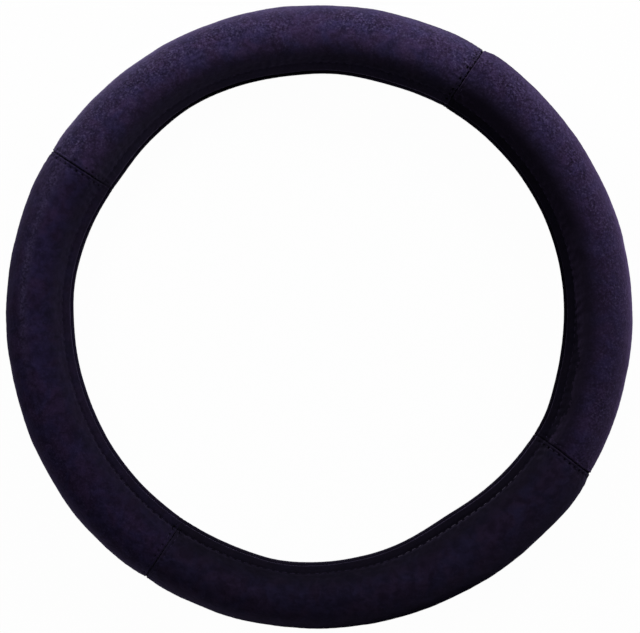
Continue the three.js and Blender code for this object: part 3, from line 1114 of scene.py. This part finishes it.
def make_stitches():
    """Two rows of topstitching on each panel, beside its seams, and the hem stitching on both lips."""
    tree = stitch_tree()
    for index, place in enumerate(PANELS):
        start, end = panel_span(index)
        across = between_holes(-TOPSTITCH_REACH, TOPSTITCH_REACH, TOPSTITCH_PITCH)
        path = np.abs(across)
        side = np.sign(across)
        outwards, _ = section(path, FACE, side)
        away = np.degrees(TOPSTITCH_AT / (CENTRE_RADIUS + outwards))
        sew(
            f"topstitch_{place}",
            [guide_line(index, bearing, path, side) for bearing in (start + away, end - away)],
            tree,
            TOPSTITCH,
            stitch_length=2.8 * MM,
            thread_radius=THREAD_RADIUS,
            crown=STITCH_CROWN,
            sink=0.35 * MM,
        )
        first = math.radians(start) * CENTRE_RADIUS + HEM_STITCHES_FROM
        last = math.radians(end) * CENTRE_RADIUS - HEM_STITCHES_FROM
        bearings = np.degrees(between_holes(first, last, HEM_PITCH) / CENTRE_RADIUS)
        # Painted glints: these stitches get the paler thread.
        is_glint_painted = (bearings > GLINT_PAINTED_HEM[0]) & (bearings < GLINT_PAINTED_HEM[1])
        runs = (("hem_stitch", ~is_glint_painted, HEM_THREAD), ("glint_painted_hem_stitch", is_glint_painted, GLINT_PAINTED_HEM_THREAD))
        for name, chosen, thread in runs:
            if not chosen.any():
                continue
            hem = ARC_LENGTH + HEM_STITCH_AT
            sew(
                f"{name}_{place}",
                [guide_line(index, bearings[chosen], hem, side) for side in (1, -1)],
                tree,
                thread,
                stitch_length=3.0 * MM,
                thread_radius=THREAD_RADIUS,
                crown=STITCH_CROWN,
                sink=0.25 * MM,
            )


# The moulded ring's ribs, round its channel, in degrees from the outer edge.
RIB_HEIGHT = 0.8 * MM
RIB_HALF_WIDTH = 1.1 * MM
RIB_ANGLES = (0, 90)

# Points of half the ring's outline, and in degrees how far its outside and its channel begin from the
# outer edge and stop before the lip.
RING_OUTSIDE_STEPS = 32
RING_OUTSIDE_FROM = 0.5
RING_CHANNEL_STEPS = 60
RING_CHANNEL_FROM = 0.3
RING_STOPS_BEFORE_LIP = 0.5
RING_LIP_STEPS = 6
RING_TIP_STEPS = 7
RING_SECTIONS = 240


def ring_path():
    """Half of the ring's outline, from the outer edge over its outside and its rounded lip and back
    along the ribbed channel: path, depth, and how many points come before the channel's side."""
    arc_end = math.degrees(CHANNEL_HALF_ANGLE) - RING_STOPS_BEFORE_LIP
    tip_radius = GRIP_WALL / 2
    lip_end = LIP_LENGTH - tip_radius
    outside = np.radians(np.linspace(RING_OUTSIDE_FROM, arc_end, RING_OUTSIDE_STEPS))
    channel = np.radians(np.linspace(arc_end, RING_CHANNEL_FROM, RING_CHANNEL_STEPS))
    lip = np.linspace(CLEARANCE, lip_end, RING_LIP_STEPS)
    turn = np.linspace(0, math.pi, RING_TIP_STEPS + 2)[1:-1]
    tip = lip_end + tip_radius * np.sin(turn)
    lips = ARC_LENGTH + np.concatenate([lip, tip, lip[::-1]])
    path = np.concatenate([outside * TUBE_HALF_WIDTH, lips, channel * TUBE_HALF_WIDTH])
    ribs = sum(
        np.clip(1 - ((channel - math.radians(at)) * CHANNEL_RADIUS / RIB_HALF_WIDTH) ** 2, 0, 1)
        for at in RIB_ANGLES
    )
    depth = np.concatenate(
        [
            np.full(RING_OUTSIDE_STEPS + RING_LIP_STEPS, GRIP_WALL),
            tip_radius + tip_radius * np.cos(turn),
            np.zeros(RING_LIP_STEPS),
            -RIB_HEIGHT * ribs,
        ]
    )
    return path, depth, RING_OUTSIDE_STEPS + RING_LIP_STEPS + RING_TIP_STEPS


def make_rubber():
    """The moulded ring that grips the wheel's rim."""
    path, depth, outside_count = ring_path()
    order, side = whole_outline(outside_count, len(path))
    bearings = np.linspace(0, FULL_TURN, RING_SECTIONS, endpoint=False)
    points = placed(*section(path[order], depth[order], side), bearings[:, None])
    ring = show("rubber_ring", loft_mesh("rubber_ring", points, is_ring=True), RUBBER)
    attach(ring, "root")
    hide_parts("rubber_grip_ring")


# The foam stops this far from the seams, and a strip has this many points and sections.
FOAM_MARGIN = 8.9 * MM
FOAM_STEPS = 22
FOAM_SECTIONS = 90


def make_foam():
    """A strip of sheet foam under each panel, between the rubber and the velour."""
    outside = np.linspace(HALVES_MEET, TUBE_HALF_WIDTH * FOAM_HALF_ANGLE, FOAM_STEPS)
    path = np.concatenate([outside, outside[::-1]])
    depth = np.repeat([FOAM_OUTSIDE, FOAM_INSIDE], FOAM_STEPS)
    order, side = whole_outline(FOAM_STEPS, len(path))
    margin = math.degrees(FOAM_MARGIN / CENTRE_RADIUS)
    for index, place in enumerate(PANELS):
        start, end = panel_span(index)
        bearings = np.linspace(start + margin, end - margin, FOAM_SECTIONS)
        points = placed(*section(path[order], depth[order], side), bearings[:, None])
        mesh = loft_mesh(f"foam_{place}", points, is_ring=False)
        strip = show(f"foam_{place}", mesh, FOAM)
        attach(strip, "root")
        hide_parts(f"foam_strip_{place}")


def make_camera():
    """Looks straight down from a photographer's distance, with the cover filling the frame as in the
    photograph, whose frame is 640 by 633 pixels."""
    frame_width = 640
    frame_height = 633
    centre_x = 318.97
    centre_y = 316.36
    outer_radius_px = 312.98
    distance = 1.4
    edge = math.atan2(CENTRE_RADIUS, distance)
    edge += math.asin(TUBE_HALF_WIDTH / math.hypot(CENTRE_RADIUS, distance))
    camera = bpy.data.cameras.new("camera")
    camera.sensor_width = 36.0
    camera.lens = outer_radius_px / math.tan(edge) * camera.sensor_width / frame_width
    camera.shift_x = (frame_width / 2 - centre_x) / frame_width
    camera.shift_y = (centre_y - frame_height / 2) / frame_width
    holder = bpy.data.objects.new("camera", camera)
    holder.location = (0, 0, CENTRE_HEIGHT + distance)
    bpy.context.scene.collection.objects.link(holder)
    bpy.context.scene.camera = holder


SOFTBOX_DISTANCE = 1.0


def softbox(name, bearing, rise, size, power):
    """A soft lamp that faces the cover from a bearing and a height in degrees."""
    light = bpy.data.lights.new(name, "AREA")
    light.shape = "RECTANGLE"
    width, height = size
    light.size = width
    light.size_y = height
    light.energy = power
    turn = math.radians(bearing)
    lift = math.radians(rise)
    level = math.cos(lift)
    away = Vector((level * math.cos(turn), level * math.sin(turn), math.sin(lift)))
    lamp = bpy.data.objects.new(name, light)
    lamp.location = away * SOFTBOX_DISTANCE + Vector((0, 0, CENTRE_HEIGHT))
    lamp.rotation_euler = away.to_track_quat("Z", "Y").to_euler()
    bpy.context.scene.collection.objects.link(lamp)


def seen_directly(tree):
    """1 for a ray that the camera or a reflection sees, and 0 for one that only gathers light."""
    ray = tree.nodes.new("ShaderNodeLightPath").outputs
    mirrored = calculate(tree, "MAXIMUM", ray["Is Glossy Ray"], ray["Is Transmission Ray"])
    return calculate(tree, "MAXIMUM", ray["Is Camera Ray"], mirrored)


WORLD_LIGHT = 0.02


def make_lights():
    """Three softboxes over the top right and the top left, a faint fill from below, and a white world
    that lights the cover dimly."""
    softbox("low_softbox", bearing=75, rise=12, size=(0.8, 0.3), power=4.9)
    softbox("main_softbox", bearing=58, rise=32, size=(1.1, 0.35), power=4.6)
    softbox("high_softbox", bearing=155, rise=55, size=(0.5, 0.35), power=2.4)
    softbox("low_fill", bearing=298, rise=20, size=(0.6, 0.3), power=0.17)
    world = bpy.data.worlds.new("studio")
    world.use_nodes = True
    tree = world.node_tree
    background = tree.nodes["Background"]
    background.inputs["Color"].default_value = (1, 1, 1, 1)
    strength = tree.nodes.new("ShaderNodeMapRange")
    strength.inputs["To Min"].default_value = WORLD_LIGHT
    strength.inputs["To Max"].default_value = 1.0
    link(tree, seen_directly(tree), strength.inputs["Value"])
    link(tree, strength.outputs["Result"], background.inputs["Strength"])
    bpy.context.scene.world = world


def make_floor():
    """A pale floor just under the cover: white to the camera apart from the cover's shadow, and dim in
    what it throws back."""
    reach = 6.0
    drop = 0.1 * MM
    mesh = bpy.data.meshes.new("floor")
    corners = [(x * reach, y * reach, -drop) for x, y in ((-1, -1), (1, -1), (1, 1), (-1, 1))]
    mesh.from_pydata(corners, [], [(0, 1, 2, 3)])
    material = bpy.data.materials.new("floor_paper")
    material.use_nodes = True
    tree = material.node_tree
    tree.nodes.clear()
    dim = tree.nodes.new("ShaderNodeBsdfDiffuse")
    dim.inputs["Color"].default_value = (0.06, 0.06, 0.06, 1)
    paper = tree.nodes.new("ShaderNodeBsdfDiffuse")
    paper.inputs["Color"].default_value = (0.95, 0.95, 0.95, 1)
    white = tree.nodes.new("ShaderNodeEmission")
    white.inputs["Strength"].default_value = 1.0
    pale = tree.nodes.new("ShaderNodeMixShader")
    pale.inputs["Fac"].default_value = 0.98
    link(tree, paper.outputs["BSDF"], pale.inputs[1])
    link(tree, white.outputs["Emission"], pale.inputs[2])
    mixed = tree.nodes.new("ShaderNodeMixShader")
    link(tree, seen_directly(tree), mixed.inputs["Fac"])
    link(tree, dim.outputs["BSDF"], mixed.inputs[1])
    link(tree, pale.outputs["Shader"], mixed.inputs[2])
    output = tree.nodes.new("ShaderNodeOutputMaterial")
    link(tree, mixed.outputs["Shader"], output.inputs["Surface"])
    floor = show("floor", mesh, material)


make_camera()
make_foam()
make_rubber()
make_panels()
make_stitches()
make_lights()
make_floor()

bpy.context.scene.view_settings.view_transform = "Standard"
